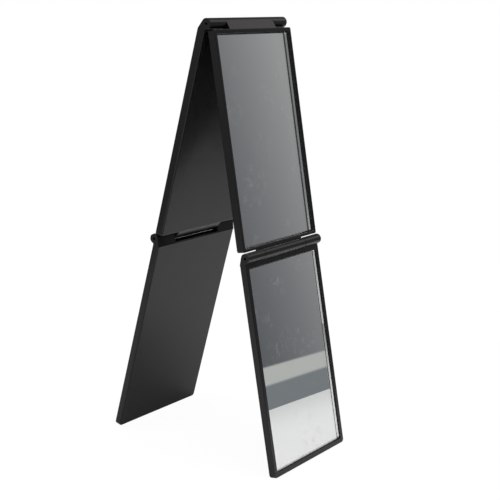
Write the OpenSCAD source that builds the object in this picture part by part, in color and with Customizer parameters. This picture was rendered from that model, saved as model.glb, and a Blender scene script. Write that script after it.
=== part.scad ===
// Four-way mirror: four equal mirror panels hinged in a chain, standing as a tall A-frame.
// X runs along the hinges, the front pair of mirrors faces -Y, and Z is up from the surface
// that the two lower panels stand on. All sizes are millimetres.

/* [Panels] */
// Width of every panel
panel_w = 140; // [110:1:180]
// Length of every panel's frame, from its hinge end to its far end
panel_l = 235.9; // [180:1:300]
// Thickness of the two upper frames
upper_t = 9.8; // [9:0.2:14]
// Thickness of the two lower frames
lower_t = 8.4; // [8:0.2:12]
// Radius of the frames' long edges on the mirror side
front_edge_r = 0.8; // [0.4:0.1:1.2]
// Radius of the frames' long edges on the back
back_edge_r = 1.6; // [0.6:0.1:2]
// Radius of the two corners at a free end, seen square to the mirror
free_corner_r = 4; // [2:0.5:6]
// Radius of the corners beside a hinge, seen square to the mirror
hinge_corner_r = 2; // [2:0.5:4]

/* [Standing] */
// Lean of the upper panels from upright
upper_lean = 12.4; // [5:0.05:25]
// Lean of the lower panels from upright
lower_lean = 12.9; // [5:0.05:25]

/* [Lips and mirrors] */
// Width of the upper frames' side lips
upper_side_lip = 4.7; // [3.5:0.1:6]
// Width of the upper frames' lip at the top
upper_top_lip = 5; // [3.5:0.1:8]
// Width of the upper frames' lip at the bottom
upper_bottom_lip = 3.6; // [3.2:0.1:8]
// Bevel along the inner edge of the upper frames' lips, part of their width
upper_lip_bevel = 1.1; // [0.4:0.1:1.3]
// Width of the lower frames' side lips
lower_side_lip = 5.7; // [3:0.1:6]
// Width of the lower frames' lips at both ends
lower_end_lip = 5.8; // [4:0.1:8]
// Bevel along the inner edge of the lower frames' lips, part of their width
lower_lip_bevel = 0.4; // [0.2:0.1:0.8]
// Depth of the upper mirrors' faces below their lips
upper_recess = 3.4; // [1.5:0.1:3.6]
// Depth of the lower mirrors' faces below their lips
lower_recess = 1.7; // [1:0.1:2.5]
// Gap all round between a mirror and its lip
mirror_gap = 0.6; // [0.4:0.1:2]
// Thickness of the mirror glass
glass_t = 3; // [2:0.1:3.2]
// Radius of the mirrors' corners
glass_corner_r = 1; // [0.5:0.1:3]

/* [Inside the frames] */
// Thickness of the foam tape under a mirror, and height of the ledge and ribs beside it
tape_t = 1.4; // [0.8:0.1:1.6]
// Width of a strip of foam tape
tape_w = 16; // [8:1:20]
// Gap between the ends of a tape strip and the ledge
tape_end_gap = 6; // [2:1:20]
// Width of the ledge that a mirror's edge rests on
ledge_w = 4; // [2:0.5:8]
// Distance between neighbouring ribs
rib_pitch = 32; // [24:1:36]
// Thickness of a rib
rib_t = 1.6; // [1:0.1:2.5]

/* [Hinges] */
// Radius of the top hinge's barrel
top_barrel_r = 6; // [4:0.1:6.6]
// Radius of the lower hinges' barrels
mid_barrel_r = 5.5; // [4:0.1:5.8]
// Distance from the top hinge's axis to the upper frames
top_reach = 7.1; // [7:0.1:10]
// Distance from the upper frames to the axis of a lower hinge
mid_reach = 6.3; // [6.1:0.1:10]
// Distance from the axis of a lower hinge to the lower frame
low_reach = 6.1; // [6.1:0.1:8]
// Length of the middle knuckle of the top hinge
top_knuckle_l = 84.6; // [50:1:90]
// Length of the middle knuckle of a lower hinge
mid_knuckle_l = 77; // [50:1:90]
// Gap between neighbouring knuckles
knuckle_gap = 0.6; // [0.3:0.1:1.5]
// Distance from a hinge's axis to the faces that meet when it is closed
face_gap = 0.25; // [0.2:0.05:0.6]
// Radius of the hinge pins
pin_r = 1.5; // [1:0.1:2]
// Radial clearance of a pin in the knuckles that hold it
pin_hold = 0.02; // [0.01:0.01:0.04]
// Radial clearance of a pin in the knuckle that turns on it
pin_run = 0.06; // [0.04:0.01:0.1]
// Depth of a pin's ends inside the barrel's ends
pin_inset = 4.5; // [0.5:0.1:5]
// Bevel on the ends of a pin
pin_bevel = 0.3; // [0.1:0.1:0.5]

/* [Hidden] */
$fn = 64;

frame_colour = [0.13, 0.13, 0.13];
mirror_colour = [0.62, 0.64, 0.66];
tape_colour = [0.82, 0.82, 0.8];
steel_colour = [0.55, 0.56, 0.58];

// Small overlap that lets a cutter pass through the face it starts from
cut = 0.5;

// Distance along an upper panel from the top hinge's axis to the lower hinge's axis
hinge_pitch = top_reach + panel_l + mid_reach;
// Place of the lower hinge's axis across an upper panel, measured from the top hinge's axis
mid_axis_y = -(face_gap + upper_t + face_gap);

// A lower panel stands on the rounded edge between its far end and its back
foot_z = -(low_reach + panel_l - back_edge_r);
foot_y = face_gap + lower_t - back_edge_r;
// Height of the lower hinges' axes over the surface
mid_z = back_edge_r - foot_z * cos(lower_lean) + foot_y * sin(lower_lean);
// Height of the top hinge's axis over the surface
top_z = mid_z + hinge_pitch * cos(upper_lean) + mid_axis_y * sin(upper_lean);
// Distance of a lower hinge's axis from the middle plane
mid_y = hinge_pitch * sin(upper_lean) - mid_axis_y * cos(upper_lean);

// A panel is [thickness, recess, side lip, upper lip, lower lip, bevel of the lips]
upper_panel = [
    upper_t, upper_recess, upper_side_lip, upper_top_lip, upper_bottom_lip, upper_lip_bevel
];
lower_panel = [
    lower_t, lower_recess, lower_side_lip, lower_end_lip, lower_end_lip, lower_lip_bevel
];

function panel_t(p) = p[0];
function recess(p) = p[1];
function opening_w(p) = panel_w - 2 * p[2];
function opening_l(p) = panel_l - p[3] - p[4];
// Height of the middle of the opening over the middle of the frame
function opening_z(p) = (p[4] - p[3]) / 2;
function glass_w(p) = opening_w(p) - 2 * mirror_gap;
function glass_l(p) = opening_l(p) - 2 * mirror_gap;
// Depth of the ledge below the lip's face, and of the floor below that
function ledge_depth(p) = recess(p) + glass_t;
function floor_depth(p) = ledge_depth(p) + tape_t;
function bay_w(p) = opening_w(p) - 2 * ledge_w;
function bay_l(p) = opening_l(p) - 2 * ledge_w;

// Point where the line from [y, z] touches a circle round the origin, on the side given by +1 or -1
function tangent(y, z, r, side) =
    let (far = norm([y, z]), turn = atan2(z, y) + side * acos(r / far))
    [r * cos(turn), r * sin(turn)];

// What a rounded corner leaves out: the corner is at the origin and the shape lies away from side
module corner_waste(r, side) {
    difference() {
        square(2 * r, center = true);
        translate(-r * side) circle(r);
    }
}

// Rectangle with corner radii in the order left bottom, right bottom, right top, left top
module rounded_rectangle(w, h, radii) {
    corners = [[-1, -1], [1, -1], [1, 1], [-1, 1]];
    difference() {
        square([w, h], center = true);
        for (i = [0 : 3])
            translate([corners[i][0] * w / 2, corners[i][1] * h / 2])
                corner_waste(radii[i], corners[i]);
    }
}

// Solid made by pushing a y-z outline along X, w long and centred
module along_x(w) {
    rotate([90, 0, 90]) translate([0, 0, -w / 2]) linear_extrude(w) children();
}

// Solid made by pushing an x-z outline along Y, from y = 0 to y = t
module along_y(t) {
    translate([0, t, 0]) rotate([90, 0, 0]) linear_extrude(t) children();
}

// Section through a slab's edge, r deep from x = 0 outwards, with the two outer corners rounded
module edge_section(t, r) {
    intersection() {
        translate([0, t / 2])
            rounded_rectangle(2 * r, t, [front_edge_r, front_edge_r, back_edge_r, back_edge_r]);
        square([r, t]);
    }
}

// Upper end of a slab, r deep: a straight bar between two turned corners of radius r
module slab_end(t, r) {
    translate([0, 0, panel_l / 2 - r]) {
        rotate([0, -90, 0]) linear_extrude(panel_w - 2 * r, center = true) edge_section(t, r);
        for (s = [0, 1])
            mirror([s, 0, 0]) translate([panel_w / 2 - r, 0, 0]) rotate([-90, 0, 0])
                rotate([0, 0, -90]) rotate_extrude(angle = 90) edge_section(t, r);
    }
}

// Slab of a frame with all its outer edges rounded, mirror side at y = 0 and back at y = t
module slab(t, top_r, bottom_r) {
    translate([0, t / 2, bottom_r - panel_l / 2]) linear_extrude(panel_l - bottom_r - top_r)
        rounded_rectangle(panel_w, t, [front_edge_r, front_edge_r, back_edge_r, back_edge_r]);
    slab_end(t, top_r);
    mirror([0, 0, 1]) slab_end(t, bottom_r);
}

// Cutter for the bevel round the inner edge of a panel's lip
module lip_bevels(p) {
    w = opening_w(p);
    l = opening_l(p);
    r = glass_corner_r;
    depth = p[5] + cut;
    translate([0, -cut, 0]) {
        linear_extrude(l - 2 * r, center = true)
            polygon([[-w / 2 - depth, 0], [w / 2 + depth, 0], [w / 2, depth], [-w / 2, depth]]);
        along_x(w - 2 * r)
            polygon([[0, -l / 2 - depth], [depth, -l / 2], [depth, l / 2], [0, l / 2 + depth]]);
        for (x = [-1, 1], z = [-1, 1])
            translate([x * (w / 2 - r), 0, z * (l / 2 - r)]) rotate([-90, 0, 0])
                cylinder(h = depth, r1 = r + depth, r2 = r);
    }
}

// Tray that a mirror drops into from the front: lip, ledge, floor and ribs
module tray(p, top_r, bottom_r) {
    r = glass_corner_r;
    difference() {
        slab(panel_t(p), top_r, bottom_r);
        translate([0, 0, opening_z(p)]) {
            translate([0, -cut, 0]) along_y(ledge_depth(p) + cut)
                rounded_rectangle(opening_w(p), opening_l(p), [r, r, r, r]);
            translate([0, ledge_depth(p) - cut, 0]) along_y(tape_t + cut)
                rounded_rectangle(bay_w(p), bay_l(p), [r, r, r, r]);
            lip_bevels(p);
        }
    }
    for (x = [-rib_pitch, 0, rib_pitch])
        translate([x - rib_t / 2, ledge_depth(p), opening_z(p) - bay_l(p) / 2])
            cube([rib_t, tape_t, bay_l(p)]);
}

// Outline of a knuckle of radius r and its web round an axis at the origin, for a frame that
// starts at z = -reach and lies between y = face_gap and y = face_gap + t
module knuckle_outline(r, t, reach, near_r, far_r) {
    near = [face_gap, -(reach + near_r)];
    far = [face_gap + t, -(reach + far_r)];
    touch = tangent(far[0], far[1], r, 1);
    circle(r);
    polygon([[0, 0], [face_gap, -r / 2], near, far, touch]);
}

// Row of knuckles along X: the middle one, or the pair at the ends
module knuckles(middle, middle_l, r, t, reach, near_r, far_r) {
    hold = middle ? pin_run : pin_hold;
    end_l = (panel_w - middle_l) / 2 - knuckle_gap;
    difference() {
        if (middle)
            along_x(middle_l) knuckle_outline(r, t, reach, near_r, far_r);
        else
            for (s = [-1, 1])
                translate([s * (panel_w - end_l) / 2, 0, 0]) along_x(end_l)
                    knuckle_outline(r, t, reach, near_r, far_r);
        rotate([0, 90, 0]) cylinder(h = panel_w + 2 * cut, r = pin_r + hold, center = true);
    }
}

// Upper frame, top hinge's axis at the origin: the axis lies on the back, the lower one on the front
module upper_frame(middle_on_top) {
    translate([0, -face_gap - upper_t, -top_reach - panel_l / 2])
        tray(upper_panel, hinge_corner_r, hinge_corner_r);
    mirror([0, 1, 0])
        knuckles(
            middle_on_top, top_knuckle_l, top_barrel_r, upper_t, top_reach,
            back_edge_r, front_edge_r
        );
    translate([0, mid_axis_y, -hinge_pitch]) rotate([180, 0, 0]) mirror([0, 1, 0])
        knuckles(
            true, mid_knuckle_l, mid_barrel_r, upper_t, mid_reach, front_edge_r, back_edge_r
        );
}

// Lower frame, its hinge's axis at the origin, on the mirror side
module lower_frame() {
    translate([0, face_gap, -low_reach - panel_l / 2])
        tray(lower_panel, hinge_corner_r, free_corner_r);
    knuckles(
        false, mid_knuckle_l, mid_barrel_r, lower_t, low_reach, front_edge_r, back_edge_r
    );
}

// Places a panel's front face: the frame's mirror side comes to y = 0, its middle to the origin
module seat_upper() {
    translate([0, -face_gap - upper_t, -top_reach - panel_l / 2 + opening_z(upper_panel)]) children();
}

module seat_lower() {
    translate([0, face_gap, -low_reach - panel_l / 2 + opening_z(lower_panel)]) children();
}

// Mirror glass on the ledge
module glass(p) {
    r = glass_corner_r;
    translate([0, recess(p), 0]) along_y(glass_t)
        rounded_rectangle(glass_w(p), glass_l(p), [r, r, r, r]);
}

// Two strips of foam tape in the bays beside the middle rib
module tape(p) {
    strip_l = bay_l(p) - 2 * tape_end_gap;
    for (s = [-1, 1])
        translate([s * rib_pitch / 2 - tape_w / 2, ledge_depth(p), -strip_l / 2])
            cube([tape_w, tape_t, strip_l]);
}

// Steel pin, centred on its axis
module pin() {
    l = panel_w - 2 * pin_inset;
    rotate([0, 90, 0]) {
        cylinder(h = l - 2 * pin_bevel, r = pin_r, center = true);
        for (s = [0, 1])
            mirror([0, 0, s]) translate([0, 0, l / 2 - pin_bevel])
                cylinder(h = pin_bevel, r1 = pin_r, r2 = pin_r - pin_bevel);
    }
}

// Places at rest: the side is 1 for the front pair and -1 for the rear pair
module upper_place(side) {
    translate([0, 0, top_z]) rotate([-side * upper_lean, 0, 0])
        rotate([0, 0, side > 0 ? 0 : 180]) children();
}

module lower_place(side) {
    translate([0, -side * mid_y, mid_z]) rotate([-side * lower_lean, 0, 0])
        rotate([0, 0, side > 0 ? 0 : 180]) children();
}

module upper_front_frame() { color(frame_colour) upper_place(1) upper_frame(true); }
module upper_rear_frame() { color(frame_colour) upper_place(-1) upper_frame(false); }
module lower_front_frame() { color(frame_colour) lower_place(1) lower_frame(); }
module lower_rear_frame() { color(frame_colour) lower_place(-1) lower_frame(); }

module upper_front_mirror() { color(mirror_colour) upper_place(1) seat_upper() glass(upper_panel); }
module upper_rear_mirror() { color(mirror_colour) upper_place(-1) seat_upper() glass(upper_panel); }
module lower_front_mirror() { color(mirror_colour) lower_place(1) seat_lower() glass(lower_panel); }
module lower_rear_mirror() { color(mirror_colour) lower_place(-1) seat_lower() glass(lower_panel); }

module upper_front_tape() { color(tape_colour) upper_place(1) seat_upper() tape(upper_panel); }
module upper_rear_tape() { color(tape_colour) upper_place(-1) seat_upper() tape(upper_panel); }
module lower_front_tape() { color(tape_colour) lower_place(1) seat_lower() tape(lower_panel); }
module lower_rear_tape() { color(tape_colour) lower_place(-1) seat_lower() tape(lower_panel); }

module top_hinge_pin() { color(steel_colour) upper_place(-1) pin(); }
module front_hinge_pin() { color(steel_colour) lower_place(1) pin(); }
module rear_hinge_pin() { color(steel_colour) lower_place(-1) pin(); }

upper_front_frame();
upper_front_mirror();
upper_front_tape();
lower_front_frame();
lower_front_mirror();
lower_front_tape();
upper_rear_frame();
upper_rear_mirror();
upper_rear_tape();
lower_rear_frame();
lower_rear_mirror();
lower_rear_tape();
top_hinge_pin();
front_hinge_pin();
rear_hinge_pin();
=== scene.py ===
# Four-way folding mirror: glass, silvering, finishes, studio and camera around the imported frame.
import math

import bmesh
import bpy
from mathutils import Matrix, Vector


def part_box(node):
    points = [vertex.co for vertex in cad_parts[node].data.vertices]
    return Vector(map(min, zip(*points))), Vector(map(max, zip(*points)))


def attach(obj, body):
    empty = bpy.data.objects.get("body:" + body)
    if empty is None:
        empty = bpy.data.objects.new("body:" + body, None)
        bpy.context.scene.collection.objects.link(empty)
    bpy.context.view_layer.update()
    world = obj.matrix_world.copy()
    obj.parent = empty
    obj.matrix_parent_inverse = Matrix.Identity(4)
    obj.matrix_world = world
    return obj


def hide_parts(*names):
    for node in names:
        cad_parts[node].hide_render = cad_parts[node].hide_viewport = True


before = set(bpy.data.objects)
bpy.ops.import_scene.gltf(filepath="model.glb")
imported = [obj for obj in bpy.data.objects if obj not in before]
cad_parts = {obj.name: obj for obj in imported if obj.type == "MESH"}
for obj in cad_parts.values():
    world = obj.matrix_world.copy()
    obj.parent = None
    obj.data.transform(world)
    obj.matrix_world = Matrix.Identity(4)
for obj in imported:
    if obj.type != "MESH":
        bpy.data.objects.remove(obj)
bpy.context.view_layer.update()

MM = 0.001
ACROSS = Vector((1, 0, 0))
PANELS = ("upper_front", "lower_front", "upper_rear", "lower_rear")

# Float glass behind the front lip, silvered on its back
GLASS_CORNER = 1.0 * MM
GLASS_CORNER_STEPS = 4
SEAM = 0.15 * MM
SILVER_BURIED = 0.02 * MM
SILVER_THICK = 0.12 * MM
SILVER_EDGE = 0.15 * MM
GLASS_IOR = 1.52
PLASTIC_IOR = 1.43

# Soft edge of the mouldings, where two of their faces meet at about a right angle
EDGE_SOFT = 0.22 * MM
EDGE_STEPS = 2
CRISP_FROM = math.radians(75)
CRISP_TO = math.radians(103)
FLAT_WITHIN = math.radians(0.5)
SHARP_FROM = math.radians(38)
WELD = 0.001 * MM
LEVEL_WITHIN = 0.0001 * MM

# Camera: place, heading, pitch and roll, and a focal length on a 36 mm sensor for a square picture
CAMERA_PLACE = Vector((-1.0445, -0.7694, 0.5424))
CAMERA_HEADING = 0.94804
CAMERA_PITCH = -0.24023
CAMERA_ROLL = 0.04557
CAMERA_LENS = 84.321
CAMERA_SENSOR = 36.0

# Table top: how far its four edges lie from the object. The right one shows in the lower mirror.
TABLE_TURN = math.radians(54.5)
TABLE_RIGHT = 0.734
TABLE_LEFT = -0.95
TABLE_FAR = 0.9
TABLE_NEAR = -3.0
TABLE_THICK = 0.02
TABLE_EDGE = 2.0 * MM
TO_TABLE_RIGHT = Vector((math.cos(TABLE_TURN), -math.sin(TABLE_TURN), 0.0))

# The table's glow for the camera: its strength, its share near the object, which leaves the shadow in
# sight, and the distances where the share rises to 1. Towards the right the white is painted greyer, as
# painted shade where the table gets less light.
TABLE_GLOW = 1.03
GLOW_SHARE = 0.93
GLOW_RISES = (0.35, 0.75)
TABLE_PAINTED_SHADE_SPAN = (0.35, 0.80)

# Soft lamp over the table, and the room's own light
LAMP_PLACE = Vector((0.0, -0.3, 1.7))
LAMP_SIZE = 1.6
LAMP_WATTS = 25.0
ROOM_LIGHT = 0.26

# Share of the light that comes back from a mirror
MIRROR_KEEPS = 0.92

# The room in the mirrors, in picture levels: its walls by compass degrees, from +X round by +Y
WALLS = (
    (-180, (165, 165, 166)),
    (-142, (127, 128, 130)),
    (-90, (105, 107, 110)),
    (-48, (72, 74, 79)),
    (-39, (87, 89, 93)),
    (-36, (119, 120, 123)),
    (-33, (154, 154, 154)),
    (-31, (160, 160, 160)),
    (-26, (110, 110, 110)),
    (30, (110, 110, 110)),
    (110, (140, 140, 141)),
    (141, (172, 172, 172)),
    (180, (165, 165, 166)),
)

# Picture levels of what else is in the room
SCREEN = (200, 200, 200)
SHELF = (173, 174, 172)
SHELF_SHADE = (115, 119, 123)
LIGHT_FLOOR = (160, 160, 161)
DARK_FLOOR = (62, 62, 64)
UPPER_WALL = (96, 96, 97)
WINDOW = (232, 226, 224)
CEILING = (165, 165, 165)

# Heights in the room are sines of the angle above the horizon. The shelf tilts about its middle.
SHELF_TOP = -0.0676
SHELF_FOOT = -0.0819
SHELF_TOP_BLUR = 0.0012
SHELF_FOOT_BLUR = 0.0014
SHELF_TILT = 0.06
SHELF_MIDDLE = 0.79
SHELF_REACH = 0.03

# Directions in the room
TO_FLOOR_SEAM = Vector((0.6225, 0.7826, 0.0))
TO_DARK_FLOOR = Vector((0.59, 0.81, 0.0))
TO_WINDOW = Vector((0.81, -0.30, 0.50)).normalized()

# Soft borders in the room: where a tone starts, and where it is full
SCREEN_SIDE = (-0.2, -0.6)
SCREEN_END = (0.15, -0.35)
SCREEN_TOP = (0.075, -0.03)
LIGHT_FLOOR_SIDE = (-0.3, -0.5)
LIGHT_FLOOR_END = (0.025, -0.02)
LIGHT_FLOOR_TOP = (-0.04, -0.08)
DARK_FLOOR_END = (0.55, 0.80)
DARK_FLOOR_TOP = (-0.02, -0.06)
UPPER_WALL_FOOT = (0.25, 0.50)
WINDOW_RIM = (0.95, 0.985)
CEILING_RIM = (0.75, 0.94)


class Socket:
    """A socket of a node tree. Python's operators on it add Math nodes."""

    def __init__(self, sheet, link):
        self.sheet = sheet
        self.link = link

    def __add__(self, other):
        return self.sheet.math("ADD", self, other)

    def __radd__(self, other):
        return self.sheet.math("ADD", other, self)

    def __sub__(self, other):
        return self.sheet.math("SUBTRACT", self, other)

    def __rsub__(self, other):
        return self.sheet.math("SUBTRACT", other, self)

    def __mul__(self, other):
        return self.sheet.math("MULTIPLY", self, other)

    def __rmul__(self, other):
        return self.sheet.math("MULTIPLY", other, self)

    def __truediv__(self, other):
        return self.sheet.math("DIVIDE", self, other)

    def most(self, other):
        return self.sheet.math("MAXIMUM", self, other)

    def least(self, other):
        return self.sheet.math("MINIMUM", self, other)

    def between(self, low, high):
        """0 below low, 1 above high, smooth in between. Turned round where low is above high."""
        node = self.sheet.node(
            "ShaderNodeMapRange",
            {"interpolation_type": "SMOOTHSTEP"},
            {"Value": self, "From Min": low, "From Max": high},
        )
        return node["Result"]


class Node:
    """A node whose outputs are read by name."""

    def __init__(self, sheet, node):
        self.sheet = sheet
        self.node = node

    def __getitem__(self, name):
        return Socket(self.sheet, self.node.outputs[name])


class Sheet:
    """A node tree that is written from nothing."""

    def __init__(self, tree):
        self.tree = tree
        tree.nodes.clear()

    def node(self, kind, settings=None, inputs=None):
        """A node with its settings, and the values or links of its sockets."""
        made = self.tree.nodes.new(kind)
        for name, value in (settings or {}).items():
            if name == "stops":
                self.set_stops(made.color_ramp, value)
            else:
                setattr(made, name, value)
        for name, value in (inputs or {}).items():
            if isinstance(value, Node):
                value = value[0]
            if isinstance(value, Socket):
                self.tree.links.new(value.link, made.inputs[name])
            else:
                made.inputs[name].default_value = value
        return Node(self, made)

    def set_stops(self, ramp, stops):
        while len(ramp.elements) < len(stops):
            ramp.elements.new(1.0)
        for element, (place, colour) in zip(ramp.elements, stops):
            element.position = place
            element.color = colour

    def math(self, operation, *values):
        node = self.node("ShaderNodeMath", {"operation": operation}, dict(enumerate(values)))
        return node["Value"]

    def mix_colour(self, share, first, second):
        """The first colour where share is 0, the second where it is 1."""
        node = self.node(
            "ShaderNodeMix",
            {"data_type": "RGBA"},
            {0: share, 6: first, 7: second},
        )
        return node[2]

    def along(self, vector, direction):
        """How far a vector reaches in a direction."""
        node = self.node(
            "ShaderNodeVectorMath",
            {"operation": "DOT_PRODUCT"},
            {0: vector, 1: direction},
        )
        return node["Value"]

    def noise(self, place, scale, detail=2.0, roughness=0.5):
        node = self.node(
            "ShaderNodeTexNoise",
            inputs={"Vector": place, "Scale": scale, "Detail": detail, "Roughness": roughness},
        )
        return node["Fac"]

    def place(self):
        return self.node("ShaderNodeTexCoord")["Object"]

    def bump(self, height, strength, distance):
        node = self.node(
            "ShaderNodeBump",
            inputs={"Height": height, "Strength": strength, "Distance": distance},
        )
        return node["Normal"]


def material(finish):
    """A material that is named after the function for its surface."""
    made = bpy.data.materials.new(finish.__name__)
    made.use_nodes = True
    sheet = Sheet(made.node_tree)
    sheet.node("ShaderNodeOutputMaterial", inputs={"Surface": finish(sheet)})
    return made


def grey(tone):
    return (tone, tone, tone, 1.0)


def seen(levels):
    """The room colour that a mirror shows as these picture levels, from 0 to 255."""
    linear = [((level / 255 + 0.055) / 1.055) ** 2.4 / MIRROR_KEEPS for level in levels]
    return (*linear, 1.0)


def moulded_black(sheet):
    """Satin black moulded plastic: fine spark-eroded grain, faint sink waves and handling marks."""
    place = sheet.place()
    cloud = sheet.noise(place, scale=18.0, detail=3.0)
    grain = sheet.noise(place, scale=2600.0)
    rubbed = sheet.noise(place, scale=90.0, detail=4.0, roughness=0.6).between(0.5, 0.75)
    sink = sheet.noise(place, scale=38.0, detail=1.0)
    deep = (0.0062, 0.0062, 0.0065, 1.0)
    dusty = (0.0092, 0.0090, 0.0089, 1.0)
    return sheet.node(
        "ShaderNodeBsdfPrincipled",
        inputs={
            "Base Color": sheet.mix_colour(cloud, deep, dusty),
            "Roughness": 0.21 + 0.05 * cloud - 0.03 * rubbed,
            "IOR": PLASTIC_IOR,
            "Normal": sheet.bump(sink + 0.03 * grain, strength=0.5, distance=0.3 * MM),
        },
    )


def clear_glass(sheet):
    """Polished float glass with faint smears where fingers have been."""
    place = sheet.place()
    touched = sheet.noise(place, scale=30.0).between(0.50, 0.64)
    smear = sheet.noise(place, scale=140.0, detail=4.0, roughness=0.62).between(0.48, 0.66)
    glass = sheet.node(
        "ShaderNodeBsdfPrincipled",
        inputs={
            "Base Color": (0.975, 0.985, 0.98, 1.0),
            "Roughness": 0.0,
            "IOR": GLASS_IOR,
            "Transmission Weight": 1.0,
        },
    )
    film = sheet.node("ShaderNodeBsdfDiffuse", inputs={"Color": grey(0.8)})
    return sheet.node("ShaderNodeMixShader", inputs={0: 0.08 * smear * touched, 1: glass, 2: film})


def ground_glass(sheet):
    """The narrow seam ground along the glass edges."""
    grit = sheet.noise(sheet.place(), scale=4000.0)
    return sheet.node(
        "ShaderNodeBsdfPrincipled",
        inputs={
            "Base Color": (0.55, 0.62, 0.60, 1.0),
            "Roughness": 0.55 + 0.2 * grit,
            "IOR": GLASS_IOR,
            "Transmission Weight": 0.6,
            "Normal": sheet.bump(grit, strength=0.4, distance=0.03 * MM),
        },
    )


def silvering(sheet):
    """The silver film on the back of the glass."""
    cloud = sheet.noise(sheet.place(), scale=8.0)
    cool = (0.925, 0.935, 0.93, 1.0)
    warm = (0.945, 0.95, 0.94, 1.0)
    return sheet.node(
        "ShaderNodeBsdfPrincipled",
        inputs={
            "Base Color": sheet.mix_colour(cloud, cool, warm),
            "Roughness": 0.0,
            "Metallic": 1.0,
        },
    )


def backing_paint(sheet):
    """Grey protective paint over the silver."""
    streak = sheet.noise(sheet.place(), scale=160.0, detail=3.0)
    return sheet.node(
        "ShaderNodeBsdfPrincipled",
        inputs={
            "Base Color": sheet.mix_colour(streak, grey(0.10), grey(0.15)),
            "Roughness": 0.6,
            "Normal": sheet.bump(streak, strength=0.2, distance=0.1 * MM),
        },
    )


def foam_tape(sheet):
    """Closed-cell foam mounting tape, with painted shade darkening the cell hollows."""
    cells = sheet.node(
        "ShaderNodeTexVoronoi",
        inputs={"Vector": sheet.place(), "Scale": 2500.0},
    )["Distance"]
    # Painted shade: the cell hollows take a darker colour than the cell walls
    painted_shade_hollow = (0.62, 0.61, 0.58, 1.0)
    wall = (0.75, 0.74, 0.71, 1.0)
    return sheet.node(
        "ShaderNodeBsdfPrincipled",
        inputs={
            "Base Color": sheet.mix_colour(cells, painted_shade_hollow, wall),
            "Roughness": 0.85,
            "Normal": sheet.bump(cells, strength=0.6, distance=0.1 * MM),
        },
    )


def drawn_steel(sheet):
    """Steel wire stock, drawn along its length and sheared at the ends."""
    stretched = sheet.node(
        "ShaderNodeMapping",
        inputs={"Vector": sheet.place(), "Scale": (60.0, 5000.0, 5000.0)},
    )["Vector"]
    lines = sheet.noise(stretched, scale=1.0)
    return sheet.node(
        "ShaderNodeBsdfPrincipled",
        inputs={
            "Base Color": sheet.mix_colour(lines, grey(0.14), grey(0.22)),
            "Metallic": 1.0,
            "Roughness": 0.30 + 0.15 * lines,
            "Normal": sheet.bump(lines, strength=0.15, distance=0.02 * MM),
        },
    )


def white_table(sheet):
    """White table top. The camera sees it almost as bright as the backdrop, with the shadow kept."""
    place = sheet.place()
    cloud = sheet.noise(place, scale=3.0)
    white = sheet.mix_colour(cloud, grey(0.88), grey(0.92))
    # Painted shade: the table's white is mixed towards grey to the right, where less light falls
    painted_shade_to_right = sheet.along(place, TO_TABLE_RIGHT).between(*TABLE_PAINTED_SHADE_SPAN)
    colour = sheet.mix_colour(painted_shade_to_right, white, grey(0.76))
    board = sheet.node("ShaderNodeBsdfDiffuse", inputs={"Color": colour})
    glow = sheet.node("ShaderNodeEmission", inputs={"Color": grey(1.0), "Strength": TABLE_GLOW})
    away = sheet.node("ShaderNodeVectorMath", {"operation": "LENGTH"}, {0: place})["Value"]
    share = GLOW_SHARE + (1 - GLOW_SHARE) * away.between(*GLOW_RISES)
    direct = sheet.node("ShaderNodeLightPath")["Is Camera Ray"]
    return sheet.node("ShaderNodeMixShader", inputs={0: share * direct, 1: board, 2: glow})


def paint(obj, *materials):
    obj.data.materials.clear()
    for made in materials:
        obj.data.materials.append(made)


def add_mesh(name, bm, *materials):
    """An object at the origin with its place in its mesh."""
    mesh = bpy.data.meshes.new(name)
    bm.to_mesh(mesh)
    bm.free()
    made = bpy.data.objects.new(name, mesh)
    bpy.context.scene.collection.objects.link(made)
    paint(made, *materials)
    return made


def piece(name, bm, body, slot, *materials):
    """A finished mesh that rides on a body."""
    made = add_mesh(name, bm, *materials)
    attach(made, body)
    return made


def soft_moulding(node, body, plastic):
    """A frame's mesh with its crisp edges eased, as they come out of a mould."""
    bm = bmesh.new()
    bm.from_mesh(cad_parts[node].data)
    bmesh.ops.remove_doubles(bm, verts=bm.verts, dist=WELD)
    bmesh.ops.dissolve_limit(bm, angle_limit=FLAT_WITHIN, verts=bm.verts, edges=bm.edges)
    crisp = [
        edge
        for edge in bm.edges
        if edge.is_convex and CRISP_FROM < edge.calc_face_angle(0) < CRISP_TO
    ]
    bmesh.ops.bevel(
        bm,
        geom=crisp,
        offset=EDGE_SOFT,
        segments=EDGE_STEPS,
        profile=0.5,
        affect="EDGES",
        clamp_overlap=False,
        material=-1,
    )
    for face in bm.faces:
        face.smooth = True
    bm.normal_update()
    made = piece(node.replace("_frame", "_moulding"), bm, body, "frame", plastic)
    made.data.set_sharp_from_angle(angle=SHARP_FROM)
    even = made.modifiers.new("flat_faces", "WEIGHTED_NORMAL")
    even.keep_sharp = True
    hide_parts(node)


def pane_axes(node):
    """The turn of a pane's own axes, across, down and out, and its ends along each of these."""
    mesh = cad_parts[node].data
    low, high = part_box(node)
    out = max(mesh.polygons, key=lambda face: face.area).normal.copy()
    if out.y * (low + high).y < 0:
        out.negate()
    down = ACROSS.cross(out).normalized()
    ends = []
    for axis in (ACROSS, down, out):
        along = [axis.dot(vertex.co) for vertex in mesh.vertices]
        ends.append((min(along), max(along)))
    return Matrix((ACROSS, down, out)).transposed().to_4x4(), ends


def slab(width, length, depth, corner):
    """A flat plate about the origin, with round corners."""
    bm = bmesh.new()
    bmesh.ops.create_cube(bm, size=1.0)
    bmesh.ops.scale(bm, vec=(width, length, depth), verts=bm.verts)
    upright = [
        edge
        for edge in bm.edges
        if abs((edge.verts[0].co - edge.verts[1].co).z) > depth / 2
    ]
    bmesh.ops.bevel(
        bm,
        geom=upright,
        offset=corner,
        segments=GLASS_CORNER_STEPS,
        profile=0.5,
        affect="EDGES",
        material=-1,
    )
    return bm


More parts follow.
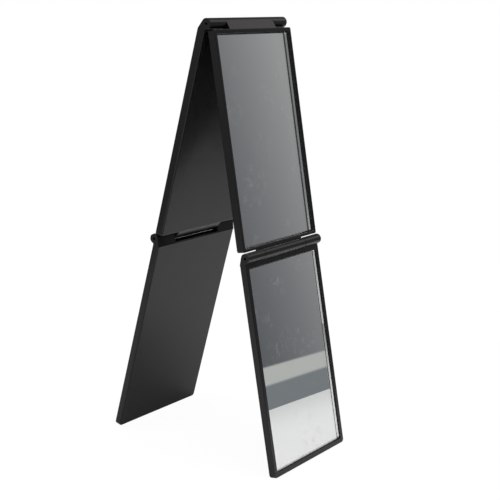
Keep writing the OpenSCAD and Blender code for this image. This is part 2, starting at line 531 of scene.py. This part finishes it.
def rim_edges(bm, height):
    """The edges round the flat face at this height."""
    return [
        edge
        for edge in bm.edges
        if all(abs(vertex.co.z - height) < LEVEL_WITHIN for vertex in edge.verts)
        and any(abs(face.normal.z) < 0.5 for face in edge.link_faces)
    ]


def put(bm, turn, ends, height):
    """Moves a plate from the origin into its pane's axes, with its middle at a height along out."""
    centre = Vector((sum(ends[0]) / 2, sum(ends[1]) / 2, height))
    bmesh.ops.translate(bm, vec=centre, verts=bm.verts)
    bmesh.ops.transform(bm, matrix=turn, verts=bm.verts)
    # Across, down and out are left-handed, so the turn has mirrored the plate
    bmesh.ops.reverse_faces(bm, faces=bm.faces)
    bm.normal_update()


def mirror_pane(panel, glass, seam, silver, backing):
    """A silvered pane of float glass in a panel's tray."""
    node = panel + "_mirror"
    body = panel + "_panel"
    turn, ends = pane_axes(node)
    width, length, depth = (high - low for low, high in ends)
    back, front = ends[2]
    glass_depth = depth - SILVER_THICK + SILVER_BURIED
    bm = slab(width, length, glass_depth, GLASS_CORNER)
    for height in (glass_depth / 2, -glass_depth / 2):
        bmesh.ops.bevel(
            bm,
            geom=rim_edges(bm, height),
            offset=SEAM,
            segments=1,
            profile=0.5,
            affect="EDGES",
            material=1,
        )
    put(bm, turn, ends, front - glass_depth / 2)
    pane = piece(panel + "_glass", bm, body, "mirror", glass, seam)
    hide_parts(node)

    bm = slab(width - 2 * SILVER_EDGE, length - 2 * SILVER_EDGE, SILVER_THICK, GLASS_CORNER / 2)
    bm.normal_update()
    for face in bm.faces:
        face.material_index = 0 if face.normal.z > 0.5 else 1
    put(bm, turn, ends, back + SILVER_THICK / 2)
    piece(panel + "_silvering", bm, body, "mirror", silver, backing)


def room_in_mirrors(sheet, view):
    """The grey studio that the mirrors and the satin plastic show, by direction of view."""
    split = sheet.node("ShaderNodeSeparateXYZ", inputs={"Vector": view})
    x, y, z = split["X"], split["Y"], split["Z"]
    compass = sheet.math("ARCTAN2", y, x) / (2 * math.pi) + 0.5
    stops = [(degrees / 360 + 0.5, seen(levels)) for degrees, levels in WALLS]
    room = sheet.node("ShaderNodeValToRGB", {"stops": stops}, {"Fac": compass})["Color"]

    beside_camera = x.between(*SCREEN_SIDE) * y.between(*SCREEN_END)
    tilt = SHELF_TILT * (x - SHELF_MIDDLE).most(-SHELF_REACH).least(SHELF_REACH)
    end = sheet.along(view, TO_FLOOR_SEAM).between(*LIGHT_FLOOR_END)
    left = x.between(*LIGHT_FLOOR_SIDE) * end
    behind = sheet.along(view, TO_DARK_FLOOR).between(*DARK_FLOOR_END)
    layers = (
        (beside_camera * z.between(*SCREEN_TOP), SCREEN),
        ((SHELF_TOP - tilt - z).between(-SHELF_TOP_BLUR, SHELF_TOP_BLUR), SHELF),
        ((SHELF_FOOT - z).between(-SHELF_FOOT_BLUR, SHELF_FOOT_BLUR), SHELF_SHADE),
        (left * z.between(*LIGHT_FLOOR_TOP), LIGHT_FLOOR),
        (behind * z.between(*DARK_FLOOR_TOP), DARK_FLOOR),
        (z.between(*UPPER_WALL_FOOT), UPPER_WALL),
        (sheet.along(view, TO_WINDOW).between(*WINDOW_RIM), WINDOW),
        (z.between(*CEILING_RIM), CEILING),
    )
    for share, levels in layers:
        room = sheet.mix_colour(share, room, seen(levels))
    return room


def studio_world():
    """White to the camera, an even soft light on the object, and a grey studio in the reflections."""
    world = bpy.data.worlds.new("studio")
    bpy.context.scene.world = world
    world.use_nodes = True
    sheet = Sheet(world.node_tree)
    ray = sheet.node("ShaderNodeLightPath")
    view = sheet.node("ShaderNodeTexCoord")["Generated"]
    mirrored = ray["Is Glossy Ray"].most(ray["Is Transmission Ray"])
    light = sheet.mix_colour(mirrored, grey(ROOM_LIGHT), room_in_mirrors(sheet, view))
    light = sheet.mix_colour(ray["Is Camera Ray"], light, grey(1.0))
    background = sheet.node("ShaderNodeBackground", inputs={"Color": light, "Strength": 1.0})
    sheet.node("ShaderNodeOutputWorld", inputs={"Surface": background})


def overhead_lamp():
    """A soft square lamp. The mirrors don't show it, which spares the lips their stray bright specks."""
    data = bpy.data.lights.new("overhead", "AREA")
    data.shape = "SQUARE"
    data.size = LAMP_SIZE
    data.energy = LAMP_WATTS
    made = bpy.data.objects.new("overhead", data)
    bpy.context.scene.collection.objects.link(made)
    made.location = LAMP_PLACE
    made.rotation_euler = (-LAMP_PLACE).to_track_quat("-Z", "Y").to_euler()
    made.visible_transmission = False


def table_top():
    """White table top with eased edges."""
    bm = bmesh.new()
    bmesh.ops.create_cube(bm, size=1.0)
    size = Vector((TABLE_RIGHT - TABLE_LEFT, TABLE_FAR - TABLE_NEAR, TABLE_THICK))
    centre = Vector((TABLE_RIGHT + TABLE_LEFT, TABLE_FAR + TABLE_NEAR, -TABLE_THICK)) / 2
    bmesh.ops.scale(bm, vec=size, verts=bm.verts)
    bmesh.ops.translate(bm, vec=centre, verts=bm.verts)
    bmesh.ops.bevel(
        bm,
        geom=bm.edges[:],
        offset=TABLE_EDGE,
        segments=EDGE_STEPS,
        profile=0.5,
        affect="EDGES",
        material=-1,
    )
    turn = Matrix.Rotation(-TABLE_TURN, 4, "Z")
    bmesh.ops.transform(bm, matrix=turn, verts=bm.verts)
    made = add_mesh("table_top", bm, material(white_table))


def camera():
    """The photo's camera."""
    heading = Vector((math.sin(CAMERA_HEADING), math.cos(CAMERA_HEADING), 0))
    ahead = heading * math.cos(CAMERA_PITCH) + Vector((0, 0, math.sin(CAMERA_PITCH)))
    right = Vector((heading.y, -heading.x, 0))
    up = right.cross(ahead)
    roll = Matrix.Rotation(CAMERA_ROLL, 3, -ahead)
    turn = Matrix((roll @ right, roll @ up, -ahead)).transposed().to_4x4()
    data = bpy.data.cameras.new("camera")
    data.sensor_width = CAMERA_SENSOR
    data.lens = CAMERA_LENS
    made = bpy.data.objects.new("camera", data)
    bpy.context.scene.collection.objects.link(made)
    made.matrix_world = Matrix.Translation(CAMERA_PLACE) @ turn
    bpy.context.scene.camera = made


plastic = material(moulded_black)
tape = material(foam_tape)
steel = material(drawn_steel)
for name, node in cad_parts.items():
    if name.endswith("_frame"):
        paint(node, plastic)
        soft_moulding(name, name.replace("_frame", "_panel"), plastic)
    elif name.endswith("_tape"):
        paint(node, tape)
    elif name.endswith("_pin"):
        paint(node, steel)

pane_finishes = [material(finish) for finish in (clear_glass, ground_glass, silvering, backing_paint)]
for panel in PANELS:
    mirror_pane(panel, *pane_finishes)

studio_world()
overhead_lamp()
table_top()
camera()
bpy.context.scene.view_settings.view_transform = "Standard"
